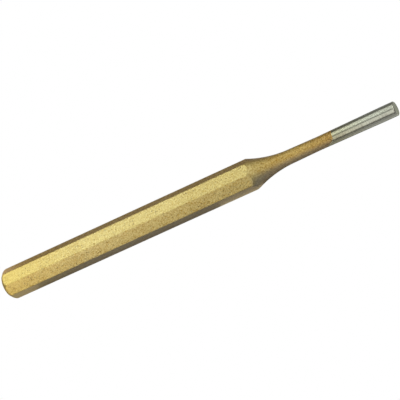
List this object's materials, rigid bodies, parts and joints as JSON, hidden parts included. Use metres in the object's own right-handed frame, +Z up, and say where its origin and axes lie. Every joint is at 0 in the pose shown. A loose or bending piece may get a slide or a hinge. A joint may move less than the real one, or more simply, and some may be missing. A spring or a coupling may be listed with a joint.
{
  "type": "pin punch",
  "caption": "Pin punch: octagonal steel shank with a chamfered head, turned neck and slim ground driving tip, under a gold lacquer coat that leaves the tip bare.",
  "frame": {"origin": "on the resting flat, under the middle of the length", "axes": "+X along the bar towards the driving tip, +Z up away from the resting flat, +Y completes a right-handed frame"},
  "size_m": [0.15, 0.0102, 0.0102],
  "materials": {
    "ground_steel": "ground bright, fine marks round the pin",
    "gold_lacquer": "gold metallic lacquer, satin, finely speckled"
  },
  "bodies": {
    "root": {"punch_body": "ground_steel", "lacquer_coat": "gold_lacquer"}
  },
  "joints": []
}
